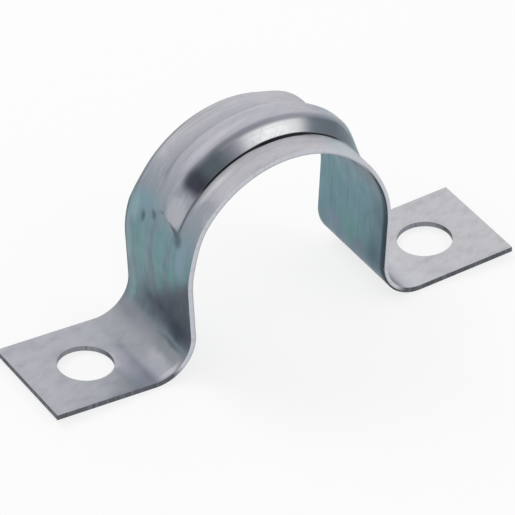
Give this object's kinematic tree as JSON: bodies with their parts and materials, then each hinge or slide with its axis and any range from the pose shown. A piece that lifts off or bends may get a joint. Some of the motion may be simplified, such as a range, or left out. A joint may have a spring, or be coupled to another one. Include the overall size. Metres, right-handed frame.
{
  "type": "conduit strap",
  "caption": "Pressed steel saddle strap with a stiffening rib over its arch, for fixing round conduit to a flat surface.",
  "frame": {"origin": "midway between the two heel bends, on the flat surface they rest on, at the middle of the strip's width", "axes": "+X from foot to foot, +Y along the conduit, +Z away from the fixing surface"},
  "size_m": [0.08, 0.0186, 0.0354],
  "materials": {
    "zinc_plated_steel": "zinc-plated sheet steel, satin, with faint draw streaks"
  },
  "bodies": {
    "root": {"conduit_strap": "zinc_plated_steel"}
  },
  "joints": []
}
